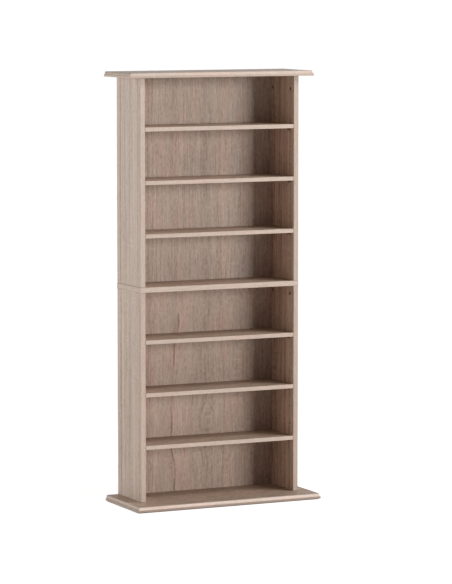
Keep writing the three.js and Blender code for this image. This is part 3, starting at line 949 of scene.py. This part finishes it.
# The cam connectors in the upper end of each side panel: a cast zinc cam with a cross slot, turned with
# a screwdriver from inside the bay, and the steel bolt it pulls down, threaded into the board above.
HALVES = ("lower", "upper")
CAM_EDGE = 0.3 * mm
CAM_LENGTH = 10.5 * mm
SEAM = 0.2 * mm
CROSS_LONG = 3.25 * mm
CROSS_SHORT = 0.6 * mm
CROSS_DEPTH = 1.5 * mm
BOLT_RADIUS = 2.5 * mm
BOLT_THREAD_RADIUS = 3.0 * mm
BOLT_THREAD_LENGTH = 9.5 * mm
BOLT_THREAD_DEPTH = 0.55 * mm
BOLT_PITCH = 1.5 * mm
THREAD_STEPS = 6
NEARLY_ZERO = 1e-9


def cross_turn(long, short):
    """The angles of a cross's twelve corners, and more between them for round rings."""
    corner = math.atan2(short, long)
    eighth = np.array([-corner, corner, math.pi / 8, math.pi / 4, math.pi * 3 / 8])
    return np.concatenate([eighth + i * math.pi / 2 for i in range(4)])


def cross_outline(turn, long, short):
    """How far a cross reaches from its middle at each angle: the further of two crossed rectangles, each
    of which ends at the nearer of its two pairs of sides."""
    c, s = (np.maximum(np.abs(wave(turn)), NEARLY_ZERO) for wave in (np.cos, np.sin))
    return np.maximum(np.minimum(long / c, short / s), np.minimum(short / c, long / s))


def thread(depth, crest, start, length, pitch):
    """The rings of a screw thread: the radius goes from the core to the crest and back in a triangle
    wave of the place along the axis over the pitch, less the angle over a full turn, and fades in at
    both ends."""
    rings = []
    for place in np.linspace(0, length, int(THREAD_STEPS * length / pitch) + 1):
        wave = 1 - np.abs(2 * np.mod(place / pitch - TURN / math.tau, 1.0) - 1)
        fade = min(1.0, place / pitch, (length - place) / pitch)
        rings.append((crest - depth + depth * wave * fade, start + place))
    return rings


def bare_metal(name, colour, roughness, depth):
    """Cast or plated metal: a grey with clouds of tarnish, a pitted skin, and gloss that follows the
    clouds."""
    return cloudy_finish(name, colour, deep=0.6, clouds=(260.0, 4.0), edges=(0.35, 0.65),
                         roughness=(roughness + 0.15, roughness - 0.05), grain=(3400.0, 3.0),
                         relief=(0.4, depth), metal=1.0)


CAST_ZINC = bare_metal("cast_zinc", linear(128, 122, 116), 0.42, 0.05 * mm)
CAM_TURN = cross_turn(CROSS_LONG, CROSS_SHORT)
CROSS = cross_outline(CAM_TURN, CROSS_LONG, CROSS_SHORT)
for half in HALVES:
    for side, hand in SIDES.items():
        outer_face, inner_face = panel_faces(half, side)
        for end in ENDS:
            name = f"{half}_{side}_cam_{end}"
            low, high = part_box(name)
            back = row_of(half, end, side)
            height = low.z + CAM_RADIUS
            rings = [(CROSS, SEAM + CROSS_DEPTH), (CROSS, SEAM), (CAM_RADIUS - CAM_EDGE, SEAM)]
            rings += [(CAM_RADIUS, SEAM + CAM_EDGE), (CAM_RADIUS, CAM_LENGTH)]
            cam_points, cam_faces = turned(rings, (inner_face, back, height), (hand, 0, 0), UP, CAM_TURN)
            panel_end = high.z - height - BOLT_THREAD_LENGTH
            bolt = [(BOLT_RADIUS, 0), (BOLT_RADIUS, panel_end)]
            bolt += thread(BOLT_THREAD_DEPTH, BOLT_THREAD_RADIUS, panel_end, BOLT_THREAD_LENGTH, BOLT_PITCH)
            bolt_points, bolt_faces = turned(bolt, ((outer_face + inner_face) / 2, back, height), UP, RIGHT)
            faces = cam_faces + [[len(cam_points) + i for i in face] for face in bolt_faces]
            fitting(name, (np.concatenate([cam_points, bolt_points]), faces), CAST_ZINC)

# The panel screws, up through the base board and the middle board into the side panels: zinc-plated
# steel with a countersunk-backed flat head, a hexagon socket, a plain neck and a coarse thread.
SCREW_HEAD_EDGE = 0.3 * mm
SCREW_HEAD_HEIGHT = 2.5 * mm
SCREW_THREAD_RADIUS = 3.0 * mm
SCREW_THREAD_LENGTH = 34.0 * mm
SCREW_THREAD_DEPTH = 1.1 * mm
SCREW_PITCH = 3.0 * mm
SCREW_POINT = 3.0 * mm
SCREW_POINT_RADIUS = 1.2 * mm
SOCKET_RADIUS = 2.3 * mm
SOCKET_DEPTH = 1.8 * mm


def hexagon(turn, radius):
    """How far a hexagon reaches at each angle: the distance to its flats over the cosine of the angle
    from the nearest flat's middle."""
    sixth = math.pi / 3
    return radius * math.cos(sixth / 2) / np.cos(np.mod(turn, sixth) - sixth / 2)


PLATED_STEEL = bare_metal("plated_steel", linear(186, 184, 180), 0.30, 0.015 * mm)
SOCKET = hexagon(TURN, SOCKET_RADIUS)
for board in ("base", "middle"):
    neck_end = foot_of(f"{board}_board")[1] - SEAM
    under_head = SCREW_HEAD_HEIGHT - SCREW_HEAD_RADIUS + SCREW_NECK_RADIUS
    rings = [(SOCKET, SOCKET_DEPTH), (SOCKET, 0), (SCREW_HEAD_RADIUS - SCREW_HEAD_EDGE, 0)]
    rings += [(SCREW_HEAD_RADIUS, SCREW_HEAD_EDGE), (SCREW_HEAD_RADIUS, under_head)]
    rings += [(SCREW_NECK_RADIUS, SCREW_HEAD_HEIGHT), (SCREW_NECK_RADIUS, neck_end)]
    rings += thread(SCREW_THREAD_DEPTH, SCREW_THREAD_RADIUS, neck_end, SCREW_THREAD_LENGTH, SCREW_PITCH)
    rings += [(SCREW_POINT_RADIUS, neck_end + SCREW_THREAD_LENGTH + SCREW_POINT)]
    for end, side in CORNERS:
        name = f"{board}_screw_{end}_{side}"
        fitting(name, turned(rings, foot_of(name)[0], UP, RIGHT), PLATED_STEEL)

# The two back panels: thin hardboard, oak print on the front with the grain upright and bare brown
# behind, let into grooves all round. The lower one shows an oval of growth rings and a dark split.
PANEL_ROUND = 0.3 * mm
FIBRE_BROWNS = linear(112, 84, 61), linear(150, 120, 91)
FIBRE_FLECK = linear(84, 60, 42)
PRESS_MARK_WAVES = 5200.0


def bare_hardboard():
    """Pressed fibre, as the back of a thin panel shows it: brown, with long soft fibres that lie every
    way, darker flecks and the woven mark of the press, a sine across times a sine up."""
    made, tree = empty_material("bare_hardboard")
    place = place_in(tree)
    fibres = cloud(tree, place, scale=240.0, octaves=6.0, roughness=0.7, distortion=1.5)
    flecks = cloud(tree, place, scale=900.0, octaves=2.0)
    part = node(tree, "SeparateXYZ", {0: place}).outputs
    weft, warp = [calc(tree, "SINE", calc(tree, "MULTIPLY", part[axis], PRESS_MARK_WAVES))
                  for axis in (0, 2)]
    colour = blended(tree, share_between(tree, fibres, 0.3, 0.7), *FIBRE_BROWNS)
    colour = blended(tree, share_between(tree, flecks, 0.62, 0.75), colour, FIBRE_FLECK)
    height = calc(tree, "MULTIPLY_ADD", calc(tree, "MULTIPLY", weft, warp), 0.5, fibres)
    give_skin(tree, colour, roughness=0.8, height=height, relief=(0.4, 0.1 * mm), shine=0.25)
    return made


BARE_HARDBOARD = bare_hardboard()
BACK_HEART = 14 * mm
BACK_SWELL = 0.035
BACK_PRINTS = {
    "lower": {"sheet": 51.0, "tint": (0.98, 0.915, 0.87, 1), "eye": 0.215, "split": -70 * mm,
              "straightness": 0.7, "lean": -0.30},
    "upper": {"sheet": 53.0, "tint": (1.03, 0.995, 0.965, 1), "eye": FAR_OFF, "split": FAR_OFF,
              "straightness": 1.1, "lean": 0.0},
}
# The print's stripes across a back panel, from left to right: the place, tone and blush.
BACK_STRIPES = [(-240, 0.0, 0.0), (-165, -0.12, 0.1), (-140, 0.04, 0.0), (-95, 0.04, 0.0),
                (-78, -0.10, 0.05), (-62, 0.03, 0.08), (-10, 0.03, 0.0), (20, -0.05, -0.1),
                (58, 0.03, 0.0), (67, -0.09, 0.1), (76, 0.04, 0.08), (118, -0.06, 0.0),
                (150, 0.0, 0.0), (240, -0.04, 0.0)]
BACK_SIDES = {(axis, sign): 1 for axis in range(3) for sign in (-1, 1)} | {(1, -1): 0}
for half in HALVES:
    cut = BACK_PRINTS[half]
    front_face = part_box(f"{half}_back_panel")[0].y
    print_side = oak_foil(f"oak_{half}_back", GRAIN_Z, cut["sheet"], cut["tint"], cast=0.4,
                          stripes=stripes_from(front_face, BACK_STRIPES, cut["lean"]),
                          heart=front_face + BACK_HEART, eye=cut["eye"], split=front_face + cut["split"],
                          straightness=cut["straightness"], swell=BACK_SWELL)
    plain_board(f"{half}_back_panel", PANEL_ROUND, [], [], BACK_SIDES, [print_side, BARE_HARDBOARD])

# The middle board between the carcass halves: it stands 1 mm proud of the side panels' ends, is
# grooved above and below for the back panels, and is bored from below for bolts and screws.
MIDDLE_SQUARE_HALF = 7.0 * mm
BOLT_MOUTH = [(3.25 * mm, 0), (3.25 * mm, 9.75 * mm)]
EDGE_TINT = (1.26, 1.28, 1.29, 1)


def bolt_mouths(half, face):
    """The holes in a board's underside for the bolts of the carcass half below it."""
    centres = [(middle_of(f"{half}_{side}_side").x, row_of(half, end, side), face)
               for side in SIDES for end in ENDS]
    return [bore(2, -1, centre, MIDDLE_SQUARE_HALF, BOLT_MOUTH) for centre in centres]


middle_low, middle_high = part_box("middle_board")
middle_bores = screw_bores("middle", MIDDLE_SQUARE_HALF) + bolt_mouths("lower", middle_low.z)
middle_grooves = [groove(middle_low.z, 1), groove(middle_high.z, -1)]
plain_board("middle_board", EDGE_ROUND, middle_bores, middle_grooves, LEVEL_BOARD_SIDES, [
    oak_foil("oak_middle_face", GRAIN_X, 61.0, **LEVEL_FINISH),
    RAW_CHIPBOARD,
    oak_foil("oak_middle_end", GRAIN_Y, 63.0, END_TINT, EDGE_CONTRAST),
    oak_foil("oak_middle_front", GRAIN_X, 64.2, EDGE_TINT, EDGE_CONTRAST),
])

# The top board: moulded as the base board is, with a smaller overhang at the front, grooved and bored
# from below only.
# The top face's tint is greyer than the other level faces: a painted reflection of the pale room, which the
# face shows at a low angle.
TOP_FACE_TINT_AND_REFLECTION = (0.77, 0.745, 0.72, 1)
TOP_BAND_TINT = (1.12, 1.12, 1.12, 1)
# The top board's ovolo is tinted lighter than its band: a painted highlight that stops TOP_STRIP_END short
# of the top face.
TOP_OVOLO_PAINTED_HIGHLIGHT = (1.40, 1.44, 1.46, 1)
TOP_STRIP_END = 1.0 * mm
top_low, top_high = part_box("top_board")
moulded_board("top_board", bolt_mouths("upper", top_low.z), [groove(top_low.z, 1)], [
    oak_foil("oak_top_face", GRAIN_X, 71.0, TOP_FACE_TINT_AND_REFLECTION, cast=0.1),
    RAW_CHIPBOARD,
    oak_foil("oak_top_end", GRAIN_Y, 73.0, END_TINT, EDGE_CONTRAST),
    oak_foil("oak_top_front", GRAIN_X, 75.0, TOP_BAND_TINT, EDGE_CONTRAST, strip_tint=TOP_OVOLO_PAINTED_HIGHLIGHT,
             strip=(top_low.z + BAND_HEIGHT, top_high.z - TOP_STRIP_END)),
])

# The shelf pegs, four to a shelf: turned brown plastic, a ribbed shank pushed into the panel and a plain
# head with a soft end that the shelf lies on.
SHELF_NUMBERS = (1, 2, 3)
PEG_SHANK_RADIUS = 2.25 * mm
PEG_SHANK_LENGTH = 9.0 * mm
PEG_TIP = 0.5 * mm
PEG_TIP_RADIUS = 1.95 * mm
PEG_RIBS = 8
PEG_RIB_DEPTH = 0.15 * mm
PEG_RIBS_END = 1.0 * mm
PEG_COLLAR = 0.6 * mm
PEG_HEAD_RADIUS = 3.5 * mm
PEG_HEAD_LENGTH = 8.0 * mm
PEG_HEAD_ROUND = 0.8 * mm
BROWN_PLASTIC = plastic("peg_plastic", linear(132, 104, 86), 0.40)
ribbed = PEG_SHANK_RADIUS - PEG_RIB_DEPTH * (0.5 - 0.5 * np.cos(PEG_RIBS * TURN))
peg_rings = [(PEG_TIP_RADIUS, -PEG_SHANK_LENGTH), (ribbed, PEG_TIP - PEG_SHANK_LENGTH)]
peg_rings += [(ribbed, -PEG_RIBS_END), (PEG_SHANK_RADIUS, -PEG_COLLAR)]
peg_rings += [(PEG_SHANK_RADIUS, SEAM), (PEG_HEAD_RADIUS, SEAM)]
peg_rings += soft_corner(PEG_HEAD_RADIUS, PEG_HEAD_LENGTH, PEG_HEAD_ROUND, -1)
for half in HALVES:
    for number in SHELF_NUMBERS:
        for side, hand in SIDES.items():
            inner_face = panel_faces(half, side)[1]
            for end in ENDS:
                name = f"{half}_shelf_{number}_peg_{end}_{side}"
                middle = middle_of(name)
                peg = turned(peg_rings, (inner_face, middle.y, middle.z), (-hand, 0, 0), UP)
                fitting(name, peg, BROWN_PLASTIC)

# The six loose shelves: thinner chipboard in the same foil, the grain running across, the front edge
# banded and the rear edge raw. Each lies on its pegs and slides out to the front.
SHELF_SIDES = {(1, -1): 2, (1, 1): 1, (0, -1): 1, (0, 1): 1}
for half, first_sheet in (("lower", 81.0), ("upper", 101.0)):
    for number in SHELF_NUMBERS:
        name = f"{half}_shelf_{number}"
        sheet = first_sheet + 4 * number
        plain_board(name, EDGE_ROUND, [], [], SHELF_SIDES, [
            oak_foil(f"oak_{name}_face", GRAIN_X, sheet, **LEVEL_FINISH),
            RAW_CHIPBOARD,
            oak_foil(f"oak_{name}_front", GRAIN_X, sheet + 2.6, EDGE_TINT, EDGE_CONTRAST),
        ], name)
